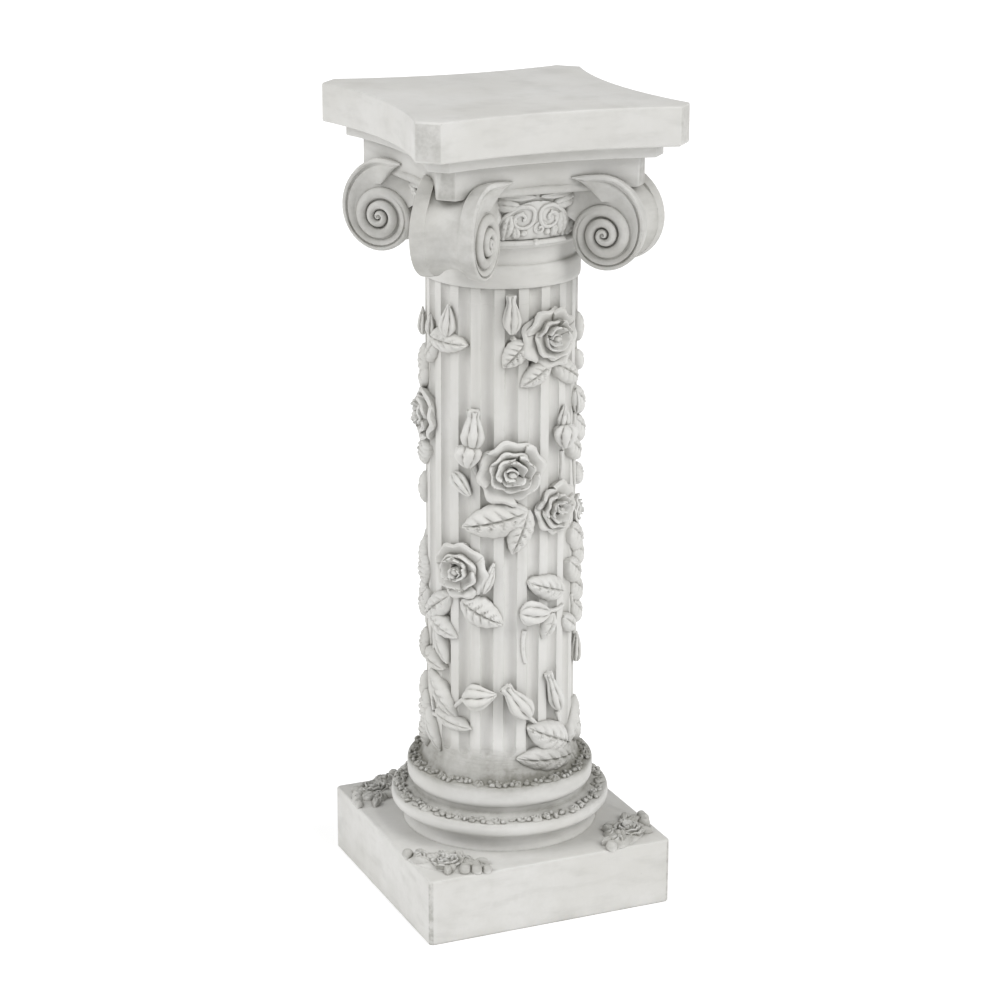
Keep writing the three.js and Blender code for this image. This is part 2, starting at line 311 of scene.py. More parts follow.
def bell_ground(z):
    return np.interp(z, [BELL_FOOT_Z, BELL_SWELL_Z, BELL_RIM_Z], [BELL_FOOT_R, BELL_SWELL_R, BELL_R])


# Architecture

def eased(loop, ease):
    """Plan loop with every sharp corner rounded over a short length."""
    before = loop - np.roll(loop, 1, axis=0)
    after = np.roll(loop, -1, axis=0) - loop
    before /= np.linalg.norm(before, axis=1)[:, None]
    after /= np.linalg.norm(after, axis=1)[:, None]
    points = []
    for place, come, go in zip(loop, before, after):
        if come @ go > math.cos(math.radians(SHARP_CORNER)):
            points.append(place)
            continue
        for t in np.linspace(0, 1, 5):
            start, end = place - ease * come, place + ease * go
            points.append((1 - t) ** 2 * start + 2 * t * (1 - t) * place + t ** 2 * end)
    return np.array(points)


def prism(loop, z0, z1, edge):
    """Body raised from a plan loop, with quarter-round edges above and below."""
    ahead = np.roll(loop, -1, axis=0) - loop
    ahead /= np.linalg.norm(ahead, axis=1)[:, None]
    ahead = ahead + np.roll(ahead, 1, axis=0)
    normal = np.column_stack([ahead[:, 1], -ahead[:, 0]])
    normal /= np.linalg.norm(normal, axis=1)[:, None]
    arc = np.linspace(0, np.pi / 2, EDGE_STEPS + 1)
    inset = edge * (1 - np.sin(arc))
    rise = edge * (1 - np.cos(arc))
    inset = np.concatenate([[edge + HOLD], inset, inset[::-1], [edge + HOLD]])
    level = np.concatenate([[z0], z0 + rise, z1 - rise[::-1], [z1]])
    return loft([np.column_stack([loop - normal * e, np.full(len(loop), z)]) for e, z in zip(inset, level)])


def plinth():
    half, flat = PLINTH_HALF, PLINTH_HALF - PLINTH_CORNER
    corners = [(half, -flat), (half, flat), (flat, half), (-flat, half),
               (-half, flat), (-half, -flat), (-flat, -half), (flat, -half)]
    return prism(eased(np.array(corners), PLINTH_EASE), 0, PLINTH_HEIGHT, PLINTH_EDGE)


def hollow_slab(z0, z1, reach, cut, middle, edge):
    """Square slab with hollow sides and clipped corners."""
    share = np.linspace(-1, 1, SLAB_POINTS)
    side = np.column_stack([cut * share, -(middle + (reach - middle) * share ** 2), 0 * share])
    loop = np.vstack([spun(side, 90 * k)[:, :2] for k in range(4)])
    return prism(eased(loop, SLAB_EASE), z0, z1, edge)


def base():
    """Two discs and the flare of the shaft, from radius and height, upwards."""
    profile = [
        (BASE_FOOT_R, PLINTH_HEIGHT - BED),
        (BASE_FOOT_R, PLINTH_HEIGHT + 1),
        (COVE_R + 1.5, PLINTH_HEIGHT + 4),
        (COVE_R, PLINTH_HEIGHT + 9),
        (COVE_R + 1.5, LOWER_DISC_Z0 - 7),
        (COVE_R + 6, LOWER_DISC_Z0 - 3),
        (LOWER_DISC_R - 3, LOWER_DISC_Z0 - 1.5),
        (LOWER_DISC_R, LOWER_DISC_Z0 + 1),
        (LOWER_DISC_R + 0.6, LOWER_DISC_Z0 + 5),
        (LOWER_DISC_R, LOWER_DISC_Z1),
        (LOWER_DISC_R - 2, LOWER_DISC_Z1 + 1),
        (DISC_NECK_R + 5, LOWER_DISC_Z1 + 1),
        (DISC_NECK_R + 3, LOWER_DISC_Z1 + 3),
        (DISC_NECK_R, LOWER_DISC_Z1 + 4),
        (DISC_NECK_R, UPPER_DISC_Z0 - 3),
        (UPPER_DISC_R - 2, UPPER_DISC_Z0 - 1),
        (UPPER_DISC_R, UPPER_DISC_Z0 + 3),
        (UPPER_DISC_R, UPPER_DISC_Z1),
        (UPPER_DISC_R - 2, UPPER_DISC_Z1 + 1),
        (FLARE_R + 2, UPPER_DISC_Z1 + 1),
        (FLARE_R - 1, UPPER_DISC_Z1 + 5),
        (FLARE_R - 4, UPPER_DISC_Z1 + 14),
        (SHAFT_R, FLUTE_Z0 - 2),
        (SHAFT_R - FLUTE_DEPTH - 2, FLUTE_Z0 - 2),
    ]
    return turned(rounded(profile), 120)


def shaft():
    """Grooved drum: the grooves end round at the foot and run under the collar at the top."""
    across = np.array(FLUTE_POINTS)
    place = (np.arange(FLUTE_COUNT)[:, None] + across[None]).ravel()
    phase = np.tile(across, FLUTE_COUNT)
    angle = place * 2 * np.pi / FLUTE_COUNT + math.radians(FLUTE_PHASE)
    ends = FLUTE_Z0 + FLUTE_END * (1 - np.cos(np.linspace(0, np.pi / 2, 7)))
    heights = np.concatenate([[FLUTE_Z0 - 8], ends, np.linspace(FLUTE_Z0 + 24, COLLAR_Z0 + 5, 9)])
    rows = []
    for z in heights:
        rise = np.clip((z - FLUTE_Z0) / FLUTE_END, 0, 1)
        half = max(0.5 * FLUTE_SHARE * math.sqrt(rise * (2 - rise)), 1e-6)
        hollow = np.clip(1 - (phase / half) ** 2, 0, 1) ** FLUTE_FULLNESS
        r = SHAFT_R - FLUTE_DEPTH * hollow * math.sqrt(rise * (2 - rise))
        rows.append(np.column_stack([r * np.sin(angle), -r * np.cos(angle), np.full(len(r), z)]))
    return loft(rows)


def bell():
    """Collar, neck, bead and bell, from radius and height, upwards."""
    profile = [
        (COLLAR_R - 3, COLLAR_Z0),
        (COLLAR_R - 0.5, COLLAR_Z0 + 0.5),
        (COLLAR_R, COLLAR_Z0 + 4),
        (COLLAR_R, COLLAR_Z1 - 3),
        (COLLAR_R - 1.5, COLLAR_Z1),
        (NECK_R, COLLAR_Z1 + 0.5),
        (NECK_R - 0.5, COLLAR_Z1 + 4),
        (NECK_R, NECK_Z1 - 1),
        (BEAD_R - 2, BEAD_Z - 4),
        (BEAD_R, BEAD_Z - 1.5),
        (BEAD_R, BEAD_Z + 1.5),
        (BELL_FOOT_R, BEAD_Z + 4),
        (BELL_FOOT_R, BELL_FOOT_Z),
        (BELL_SWELL_R, BELL_SWELL_Z),
        (BELL_R, BELL_RIM_Z),
        (BELL_R, LEDGE_Z + 5),
    ]
    return turned(rounded(profile), 96)


# Corner volutes

def spiral_radius(t):
    return VOLUTE_R * np.clip(1 - t / VOLUTE_TURNS, 0, None) ** VOLUTE_CURL


def lift(t):
    """How much higher than a plain spiral the outermost turn lies."""
    return VOLUTE_RISE * np.clip(1 - np.clip(t, 0, None) / VOLUTE_RISE_TURNS, 0, None) ** 2


def spiral(t, inset):
    """Places on the spiral, in turns from the top, at a distance inside its outer edge."""
    r = spiral_radius(np.clip(t, 0, None)) - inset
    fall = np.where(t < 0, TIP_DROOP, 1.0)
    along = EYE_S + r * np.sin(2 * np.pi * t)
    up = EYE_Z + lift(t) + r * np.cos(2 * np.pi * t * fall)
    return np.stack([along, up], -1)


def rim_inset(across, t):
    """How far the roll lies inside the spiral: a rim, a soft step and a waist, one sweep at the tip."""
    fade = np.clip((RIM_FADE - t) / (RIM_FADE - VOLUTE_START), 0, 1)
    inner = VOLUTE_HALF - RIM_WIDTH * (1 - fade)
    step = WAIST_STEP * (1 - fade) * np.clip((inner + STEP_SOFT - abs(across)) / (2 * STEP_SOFT), 0, 1)
    return ROLL_INSET + step + WAIST_DEPTH * np.clip(1 - (across / inner) ** 2, 0, None)


def flare(t):
    """How far the faces of the roll spread outwards where it leaves the capital."""
    return VOLUTE_FLARE * np.clip((FLARE_END - t) / (FLARE_END - VOLUTE_START), 0, 1) ** FLARE_CURVE


def roll():
    """Hollow-waisted body between the two faces of a volute."""
    t = np.linspace(VOLUTE_START, ROLL_STOP, 56)
    flat = VOLUTE_HALF - CHANNEL_DEPTH
    inner = VOLUTE_HALF - RIM_WIDTH
    step = inner + np.array([-STEP_SOFT, -0.7, 0, 0.7, STEP_SOFT])
    half = np.concatenate([np.linspace(0, inner - 2.5, 6), step, np.linspace(inner + 3.5, flat, 4)])
    root = np.array([[NECK_R - 10, EYE_Z + 24], [NECK_R - 10, LEDGE_Z + 6]])
    rows = []
    for across in np.concatenate([-half[:0:-1], half]):
        loop = np.vstack([spiral(t, rim_inset(across, t)), root])
        spread = np.append(1 + flare(t) / VOLUTE_HALF, [1, 1])
        rows.append(np.column_stack([loop[:, 0], across * spread, loop[:, 1]]))
    return loft(rows, fan=False)


# Section of the spiral band: share of its width from the outer edge, height over the face in the outermost
# turn, height further in, share of the cut line's depth. The lip takes the first LIP_SHARE of the width.
LIP_SHARE = 0.3
BAND_SECTION = np.array([
    (0.12, -RIM_WIDTH, -RIM_WIDTH, 0),
    (0.02, -8, -8, 0),
    (0.0, -4, -4, 0),
    (0.0, -1.6, -2.4, 0),
    (0.06, -0.5, -1.2, 0),
    (0.13, 0, -0.4, 0),
    (0.22, 0, 0.3, 0.1),
    (0.29, -0.3, 0.6, 1),
    (0.35, -0.4, 0.8, 1),
    (0.42, -0.4, 0.9, 0.2),
    (0.56, -0.8, 0.8, 0),
    (0.74, -1.5, 0.2, 0),
    (0.89, -2.2, -0.9, 0),
    (1.0, -3.0, -2.2, 0),
    (1.03, -RIM_WIDTH, -RIM_WIDTH, 0),
])


def ramped(t, start, length):
    """0 up to the start, 1 from a length beyond it, straight between."""
    return np.clip((t - start) / length, 0, 1)


def band(side):
    """Broad band that winds in to the eye on one face: a lip, a cut line and a soft rib."""
    t = np.linspace(VOLUTE_START, VOLUTE_STOP, 170)
    width = BAND_SHARE * (spiral_radius(t) - spiral_radius(t + 1) + lift(t) * np.cos(2 * np.pi * t))
    width *= np.clip((t - VOLUTE_START) / TIP_LENGTH, TIP_SHARE, 1)
    lip = np.clip(LIP_WIDTH / width, *LIP_LIMITS)
    begin, end = LINE_SLOPES
    cut = LINE_DEPTH * np.clip(begin * (t - VOLUTE_START), 0, 1) * np.clip(end * (LINE_STOP - t), 0, 1)
    swell = flare(t) + EYE_SWELL * ramped(t, *SWELL_TURNS)
    inward = ramped(t, *INNER_TURNS)
    dish = TIP_DISH * np.clip((DISH_TURNS - t) / DISH_TURNS, 0, 1)
    rows = []
    for k in range(len(t)):
        share = np.interp(BAND_SECTION[:, 0], [0, LIP_SHARE, 1, 2], [0, lip[k], 1, 2])
        place = spiral(t[k], share * width[k])
        section = (1 - inward[k]) * BAND_SECTION[:, 1] + inward[k] * BAND_SECTION[:, 2]
        section = section * (1 + dish[k] * (BAND_SECTION[:, 0] > LIP_SHARE) * (section > -RIM_WIDTH))
        height = VOLUTE_HALF + swell[k] + section - cut[k] * BAND_SECTION[:, 3]
        rows.append(np.column_stack([place[:, 0], side * height, place[:, 1]]))
    return loft(rows)


def volutes():
    bodies = []
    for corner in range(4):
        turn = 45 + 90 * corner
        eye = [ball((EYE_S, side * VOLUTE_HALF, EYE_Z), EYE_SIZE) for side in (-1, 1)]
        for body in (roll(), band(-1), band(1), *eye):
            bodies.append(placed(body, lambda p, a=turn: spun(p, a)))
    return bodies


# Ornament, drawn flat: x along the ground, y up, z out of it

# Leaves: rows and half the columns of the finest mesh, thickness at the edge and what it gains inside it
LEAF_ROWS = 26
LEAF_COLUMNS = 7
LEAF_RIM = 0.9
LEAF_BODY = 2.6
# Crown, bow and depth of the veins as shares of the width, and the depth of the midrib against the side veins
LEAF_CROWN = 0.2
LEAF_BOW = 0.04
VEIN_SHARE = 0.11
MIDRIB = 1.25
VEIN_HALF = 1.0
VEIN_SLANT = 0.2
LEAF_NOTCH = 0.07
LEAF_UNDER = 0.94
# Shaft leaves wider than this have all their side veins, narrower ones only a few
VEINED_WIDTH = 18.5
MANY_VEINS = 5
FEW_VEINS = 2


def leaf(length, width, veins, fine=1.0, bed=BED):
    """Leaf from its foot at the origin along +y: puffed between cut veins, edge lightly notched."""
    rows, columns = int(LEAF_ROWS * fine) + 2, 2 * int(LEAF_COLUMNS * fine) + 1
    t = np.linspace(0, 1, rows)[:, None]
    u = np.linspace(-1, 1, columns)[None]
    reach = np.abs(u)
    notch = 1 + LEAF_NOTCH * np.abs(np.sin(np.pi * t * (veins + 1)))
    half = 0.5 * width * notch * np.sin(np.pi * np.clip(t, 0.015, 0.985) ** 0.85) ** 0.62
    x = half * u
    y = length * (t + 0.02 * (1 - reach))
    slant = (t - VEIN_SLANT * reach) * (veins + 1)
    gap = np.abs((slant + 0.5) % 1 - 0.5) * length / (veins + 1)
    side_half = max(VEIN_HALF, 0.9 * length / rows)
    main_half = max(VEIN_HALF, 0.55 * width / columns)
    side_vein = np.exp(-(gap / side_half) ** 2) * np.clip(1.15 - reach, 0, 1)
    main_vein = np.exp(-(x / main_half) ** 2)
    arch = np.sin(np.pi * np.clip(t, 0.03, 0.97)) ** 0.4
    puff = LEAF_BODY * (bed / BED) * (1 - reach ** 6) * arch
    crown = LEAF_CROWN * width * (1 - reach ** 2.2) * arch
    bow = LEAF_BOW * width * np.sin(np.pi * t)
    cut = VEIN_SHARE * width * np.maximum(side_vein, MIDRIB * main_vein) * arch
    z = LEAF_RIM + puff + crown + bow - cut
    top = np.stack([x, y, z], -1)
    bottom = np.stack([LEAF_UNDER * x, y, np.full_like(x, -bed)], -1)
    return sheet(top, bottom)


# Outlines of the buds: shares of the length, and the share of the half width at each
BUD_SHAPES = {
    "tear": ([0, 0.12, 0.3, 0.55, 0.8, 0.95, 1], [0.3, 0.72, 1, 0.86, 0.45, 0.2, 0.08]),
    "vase": ([0, 0.12, 0.34, 0.6, 0.84, 0.95, 1], [0.3, 0.75, 1, 0.74, 0.42, 0.56, 0.52]),
    "shell": ([0, 0.12, 0.4, 0.7, 0.9, 0.97, 1], [0.22, 0.5, 0.86, 1, 0.82, 0.55, 0.3]),
}
BUD_ROWS = 20
BUD_AROUND = 48
# Half the number of seams, how far they wind, how deep they are cut, and how far out the bud lies
BUD_SEAMS = 3
BUD_WIND = 1.2
BUD_CUT = 0.44
BUD_LIFT = 0.22


def bud(length, width, kind):
    """Bud from its foot along +y: kind is tear, vase or shell."""
    share = np.linspace(0, 1, BUD_ROWS)
    swell = np.interp(share, *BUD_SHAPES[kind])
    swell = np.convolve(np.pad(swell, 1, mode="edge"), [0.25, 0.5, 0.25], "valid")
    angle = circle(BUD_AROUND)
    seam = np.abs(np.sin(BUD_SEAMS * angle[None] + BUD_WIND * share[:, None] + 0.5))
    r = 0.5 * width * swell[:, None] * (1 - BUD_CUT + BUD_CUT * seam ** 0.6)
    y = np.repeat(length * share[:, None], BUD_AROUND, 1)
    loops = np.stack([r * np.cos(angle), y, 0.95 * r * np.sin(angle)], -1)
    return loft(loops + [0, 0, BUD_LIFT * width])


# Petals: steps across and along the finest mesh, ripple and wave of the rim, where the cup ends and the rim
# begins to roll over as shares of the length, tilt to one side, and how much smaller the underside is
PETAL_ACROSS = 12
PETAL_ALONG = 10
PETAL_RIPPLE = 0.06
PETAL_WAVE = 0.18
PETAL_CUP = 0.85
PETAL_LIP = 0.68
PETAL_TILT = 0.1
PETAL_UNDER = 0.8
# Heart of a rose: its size and height as shares of the rose radius
HEART_SHARE = 0.13
HEART_RISE = 0.38
# Rings of petals from the outside in, as shares of the rose radius:
# count, reach, foot, low, high, half spread in radians, roll of the rim
PETAL_RINGS = [
    (5, 1.0, 0.42, 0.06, 0.30, 0.86, 0.5),
    (4, 0.68, 0.30, 0.15, 0.43, 1.0, 0.42),
    (3, 0.42, 0.16, 0.25, 0.52, 1.25, 0.32),
    (2, 0.20, 0.05, 0.36, 0.55, 1.5, 0.2),
]
# Unevenness of a rose: shift of each further ring, and the spread of its petals' aim, reach and height
RING_SHIFT = 0.022
AIM_SPREAD = 0.08
REACH_SPREAD = 0.05
HEIGHT_SPREAD = 0.08


def petal(aim, reach, foot, low, high, spread, roll_down, tilt, fine):
    """One rose petal: a cupped wedge whose rim rolls over and whose underside falls away."""
    u = np.linspace(-1, 1, int(PETAL_ACROSS * fine) + 1)[None]
    v = np.linspace(0, 1, int(PETAL_ALONG * fine) + 1)[:, None]
    ripple = 1 + PETAL_RIPPLE * (np.cos(2.2 * np.pi * u + 3 * aim) - np.abs(u) ** 3)
    r = foot + (reach * ripple - foot) * v ** 0.9
    a = aim + spread * u * (0.75 + 0.25 * v)
    cup = np.clip(v / PETAL_CUP, 0, 1) ** 1.6
    over = roll_down * np.clip((v - PETAL_LIP) / (1 - PETAL_LIP), 0, 1) ** 2
    wave = PETAL_WAVE * np.sin(2.3 * np.pi * u + 5 * aim) * v ** 2
    z = low + (high - low) * (cup - over + wave - 0.3 * u ** 4 * v) + tilt * u * v
    x, y = r * np.cos(a), r * np.sin(a)
    top = np.stack([x, y, z], -1)
    bottom = np.stack([PETAL_UNDER * x, PETAL_UNDER * y, np.full_like(x, -BED)], -1)
    return sheet(top, bottom)


def rose(radius, rings=PETAL_RINGS, fine=1.0):
    """Open rose facing +z, its petals a little uneven."""
    bodies = []
    for ring, (count, reach, foot, low, high, spread, roll_down) in enumerate(rings):
        start = rng.uniform(0, 2 * np.pi)
        shift = np.append(rng.normal(0, RING_SHIFT * ring * radius, 2), 0)
        for k in range(count):
            aim = start + 2 * np.pi * k / count + rng.normal(0, AIM_SPREAD)
            grow = 1 + rng.normal(0, REACH_SPREAD)
            top = radius * high * (1 + rng.normal(0, HEIGHT_SPREAD))
            body = petal(aim, radius * reach * grow, radius * foot, radius * low, top, spread, roll_down,
                         PETAL_TILT * radius, fine)
            bodies.append(placed(body, lambda p, d=shift: p + d))
    bodies.append(ball((0, 0, HEART_RISE * radius), np.full(3, HEART_SHARE * radius)))
    return bodies


# Small flowers: count of petals, how far they stand out and wind, and how deep they are cut
ROSETTE_PETALS = 5
ROSETTE_LOBE = 0.1
ROSETTE_WIND = 7
ROSETTE_CUT = 0.2


def rosette(radius, height, bed=BED):
    """Small flower with petals that wind round a raised eye."""
    def edge(angle):
        return radius * (1 + ROSETTE_LOBE * np.cos(ROSETTE_PETALS * angle))

    def height_at(share, angle):
        wind = np.cos(ROSETTE_PETALS * angle + ROSETTE_WIND * share)
        crown = np.sqrt(np.clip(1.02 - share ** 2, 0, 1))
        return height * crown * (1 - ROSETTE_CUT + ROSETTE_CUT * wind * np.sin(np.pi * share))
    return dome(edge, height_at, 6, 24, -bed)


def laid(body, degrees, angle, z):
    """A flat-drawn body turned in its own plane (degrees from up, clockwise) and laid on the shaft."""
    move = on_column(angle, z, shaft_ground)
    return placed(body, lambda p: move(spun(p, -degrees)))


def run(angle0, z0, angle1, z1):
    """Length and direction, in degrees from up, of a step across the shaft."""
    along = math.radians(angle1 - angle0) * SHAFT_R
    return math.hypot(along, z1 - z0), math.degrees(math.atan2(along, z1 - z0))


# Roses on the shaft: angle, height, radius
ROSES = [
    (15, 549, 28), (-16, 427, 29.5), (21, 387, 24), (-55, 331, 27), (-101, 468, 26), (64, 372, 14),
    (160, 520, 25), (-160, 300, 25), (118, 250, 22),
]

# Leaves on the shaft: foot angle and height, tip angle and height, width
LEAVES = [
    (-88, 545, -50, 543, 21), (-80, 541, -92, 519, 15), (-5, 549, -22, 525, 21), (15, 527, -9, 507, 20),
    (18, 525, 50, 501, 20), (-3, 389, -52, 373, 31), (-3, 391, -15, 350, 23), (-54, 302, -22, 282, 27),
    (-64, 304, -96, 272, 22), (-90, 280, -58, 264, 20), (-82, 268, -68, 236, 14), (-98, 239, -71, 229, 18),
    (-90, 222, -58, 184, 20.5), (-82, 184, -46, 176, 16), (-98, 184, -76, 146, 18),
    (-112, 210, -108, 180, 18), (38, 151, -2, 178, 29), (47, 137, -10, 148, 27), (42, 149, 65, 186, 20),
    (44, 140, 52, 120, 15), (32, 304, -3, 321, 23), (20, 286, 10, 264, 16), (32, 278, 50, 260, 16),
    (56, 562, 62, 534, 14), (58, 526, 64, 506, 15), (46, 492, 66, 466, 24), (50, 464, 69, 438, 24),
    (38, 448, 58, 424, 19), (58, 418, 66, 396, 19), (44, 362, 64, 334, 25), (52, 342, 70, 318, 25),
    (40, 330, 60, 304, 22), (48, 308, 67, 284, 24), (50, 286, 66, 262, 22), (54, 170, 66, 140, 22),
    (-106, 532, -101, 500, 20), (-98, 514, -108, 488, 18), (-100, 446, -104, 418, 24),
    (-106, 330, -100, 302, 24), (-96, 300, -108, 268, 24), (-102, 258, -106, 226, 20),
    (-104, 196, -100, 160, 24), (-108, 170, -98, 140, 24), (-112, 408, -106, 380, 18),
    (-112, 344, -106, 312, 19), (-104, 308, -108, 278, 18), (140, 500, 120, 470, 21),
    (175, 495, 190, 465, 21), (-150, 275, -130, 245, 21), (-175, 276, -195, 250, 21),
    (110, 228, 96, 205, 19), (128, 230, 142, 206, 19),
]

# Buds on the shaft: foot angle and height, tip angle and height, width, kind
BUDS = [
    (-65, 549, -64, 579, 17, "tear"), (-85, 544, -86, 566, 12, "tear"), (-106, 540, -106, 566, 12, "tear"),
    (-16, 556, -17, 591, 17, "vase"), (-44, 448, -43, 485, 23, "vase"), (-47, 431, -47, 452, 26, "shell"),
    (-46, 404, -60, 423, 16, "shell"), (-36, 312, -28, 342, 12, "tear"), (-50, 207, -26, 214, 27, "tear"),
    (-2, 190, -20, 221, 23, "vase"), (26, 189, 14, 229, 17, "vase"), (13, 290, -9, 293, 25, "shell"),
    (28, 444, 27, 466, 25, "shell"), (27, 462, 29, 484, 14, "tear"), (50, 470, 47, 494, 12, "tear"),
    (60, 252, 62, 222, 12, "shell"), (152, 560, 150, 590, 14, "vase"), (-140, 320, -128, 345, 13, "tear"),
]

# Stems on the shaft: start, middle and end as angle and height
STEMS = [
    ((-45, 432), (-40, 420), (-35, 414)), ((-45, 440), (-42, 425), (-38, 415)),
    ((-16, 552), (-12, 546), (-5, 548)), ((-84, 206), (-92, 196), (-86, 182)),
    ((-96, 178), (-84, 178), (-72, 180)), ((-72, 290), (-82, 270), (-86, 240)),
    ((-50, 206), (-58, 200), (-62, 192)), ((-1, 188), (4, 182), (8, 176)),
    ((26, 187), (28, 178), (30, 168)), ((13, 290), (22, 286), (32, 290)), ((20, 286), (18, 276), (14, 266)),
    ((28, 440), (30, 424), (26, 408)), ((50, 470), (46, 440), (52, 400)), ((60, 252), (52, 276), (46, 296)),
    ((20, 140), (22, 132), (24, 128)), ((-5, 274), (-8, 258), (-4, 242)),
    ((160, 495), (150, 400), (122, 270)), ((-160, 275), (-172, 220), (-150, 160)),
]
STEM_R = 2.4
STEM_LIFT = 0.4
STEM_TAPER = 0.25


def stem(start, middle, end):
    """Thin round stem along a curve drawn to its middle point."""
    t = np.linspace(0, 1, 14)[:, None]
    points = [np.array([math.radians(a) * SHAFT_R, z]) for a, z in (start, middle, end)]
    line = (1 - t) ** 2 * points[0] + 2 * t * (1 - t) * points[1] + t ** 2 * points[2]
    flat = np.column_stack([line, np.full(len(line), STEM_LIFT)])
    body = tube(flat, STEM_R * (1 - STEM_TAPER * t[:, 0]))
    return placed(body, on_column(0, 0, shaft_ground))


def shaft_ornament():
    bodies = []
    for angle, z, radius in ROSES:
        bodies += [laid(body, 0, angle, z) for body in rose(radius)]
    for angle0, z0, angle1, z1, width in LEAVES:
        length, aim = run(angle0, z0, angle1, z1)
        veins = MANY_VEINS if width > VEINED_WIDTH else FEW_VEINS
        bodies.append(laid(leaf(length, width, veins), aim, angle0, z0))
    for angle0, z0, angle1, z1, width, kind in BUDS:
        length, aim = run(angle0, z0, angle1, z1)
        bodies.append(laid(bud(length, width, kind), aim, angle0, z0))
    bodies += [stem(*route) for route in STEMS]
    return bodies


# Garlands on the two discs: ring radius, height of the ground, small flowers
GARLANDS = [
    dict(ring=LOWER_DISC_R - 7.5, z=LOWER_DISC_Z1 + 0.5, flowers=16),
    dict(ring=UPPER_DISC_R - 7.0, z=UPPER_DISC_Z1 + 0.5, flowers=14),
]
GARLAND_HALF = 4.6
GARLAND_BED = 1.5
# Least and greatest sizes in a garland: radius of a flower, length and width of a leaf, radius of a berry
BLOOM_R = (4.6, 6.4)
SMALL_LENGTH = (7, 10)
SMALL_WIDTH = (4.5, 6.5)
BERRY_R = (1.7, 3.1)
# Leaves from one flower to the next, as shares of the way, the range of their turn in degrees, and berries
SMALL_PLACES = (0.3, 0.5, 0.68)
SMALL_TURN = (-30, 80)
BERRIES = 10


def on_disc(ring, z, angle, turn):
    """Move that lays a flat-drawn body on a level ground at a place round the axis."""
    return lambda points: spun(spun(points, turn) + [ring, 0, z], angle)


def garland(ring, z, flowers):
    """Dense low ring of small roses with leaves and berries crowded between them."""
    bodies = []
    step = 360 / flowers
    for k in range(flowers):
        angle = step * k + rng.uniform(-3, 3)
        size = rng.uniform(*BLOOM_R)
        bloom = rosette(size, 0.8 * size, GARLAND_BED)
        bodies.append(placed(bloom, on_disc(ring, z, angle, rng.uniform(0, 72))))
        for share in SMALL_PLACES:
            small = leaf(rng.uniform(*SMALL_LENGTH), rng.uniform(*SMALL_WIDTH), 3, 0.45, GARLAND_BED)
            out = rng.uniform(-0.5, 0.5) * GARLAND_HALF
            move = on_disc(ring + out, z, angle + step * share, rng.uniform(*SMALL_TURN))
            bodies.append(placed(small, move))
        for _ in range(BERRIES):
            lump = ball((0, 0, 1.4), rng.uniform(*BERRY_R, 3), 7)
            place = angle + step * rng.uniform(0.1, 1.0)
            move = on_disc(ring + rng.uniform(-1, 1) * GARLAND_HALF, z, place, 0)
            bodies.append(placed(lump, move))
    return bodies


# Rose sprays on the plinth corners: distance along the diagonal, the mound under each (half axes), then how
# far in the mound and the rose lie, and the lift of the rose and of the leaves
CORNER_S = 134.0
SPRAY_MOUND = (17, 41, 5.5)
SPRAY_BACK = 5
SPRAY_ROSE_R = 15
SPRAY_ROSE_BACK = 2
SPRAY_ROSE_LIFT = 2.0
SPRAY_LEAF_SHARE = 0.52
SPRAY_LEAF_LIFT = 1.5
# Flowers and berries (out, across, radius) and leaves (out, across, aim, length) of a spray
SPRAY_BLOOMS = [(-4, -27, 9.5), (-13, 14, 8.0), (-15, -12, 7.5)]
SPRAY_BERRIES = [(-5, -41, 5.6), (4, -20, 4.2), (6, 21, 5.8), (2, 31, 5.6), (-3, 39, 4.6), (-7, 26, 4.8),
                 (7, 9, 4.4)]
SPRAY_LEAVES = [(3, -14, -92, 19), (-10, -4, -64, 22), (-9, 12, 70, 20), (-3, 14, 92, 18), (-13, -8, 158, 16),
                (-13, 8, 200, 16), (-9, -24, -118, 15), (-14, 22, 110, 14), (5, 4, 20, 14)]


def corner_spray(turn):
    bodies = []

    def put(body, out, across, degrees=0, up=0):
        place = [CORNER_S + out, across, PLINTH_HEIGHT + up]
        bodies.append(placed(body, lambda p: spun(spun(p, degrees) + place, turn)))

    put(ball((0, 0, 0), SPRAY_MOUND, 20), -SPRAY_BACK, 0)
    for body in rose(SPRAY_ROSE_R, PETAL_RINGS[:3], 0.7):
        put(body, -SPRAY_ROSE_BACK, 0, up=SPRAY_ROSE_LIFT)
    for out, across, radius in SPRAY_BLOOMS:
        put(rosette(radius, 0.95 * radius), out, across, 20 * across)
    for out, across, size in SPRAY_BERRIES:
        put(ball((0, 0, 0.5 * size), (size, size, size), 12), out, across)
    for out, across, aim, length in SPRAY_LEAVES:
        put(leaf(length, SPRAY_LEAF_SHARE * length, 4, 0.7), out, across, aim - 90, SPRAY_LEAF_LIFT)
    return bodies


# Panel between two volutes: an arch of two scrolls over a curled boss, with leaves and a beaded bar below
PANEL_HALF = 36.5
PANEL_FOOT = 641.0
PANEL_RISE = 35.0
PANEL_GROUND = 1.9
# Each half of the arch sweeps over, down beside the middle and round into a curl about its eye (x, y)
SCROLL_SHARE = 0.95
SCROLL_EYE = (13.0, 18.8)
SCROLL_R = 11.0
SCROLL_SHOULDER = 0.16
SCROLL_TURNS = 1.35
SCROLL_THICK = 2.3
SCROLL_TAPER = 0.6
SCROLL_LIFT = (1.6, 2.8)
# Inner band of the arch: share of the panel, half thickness, height, and its reach in radians from the foot
INNER_BAND = (0.78, 1.9, 1.7)
INNER_REACH = 1.15
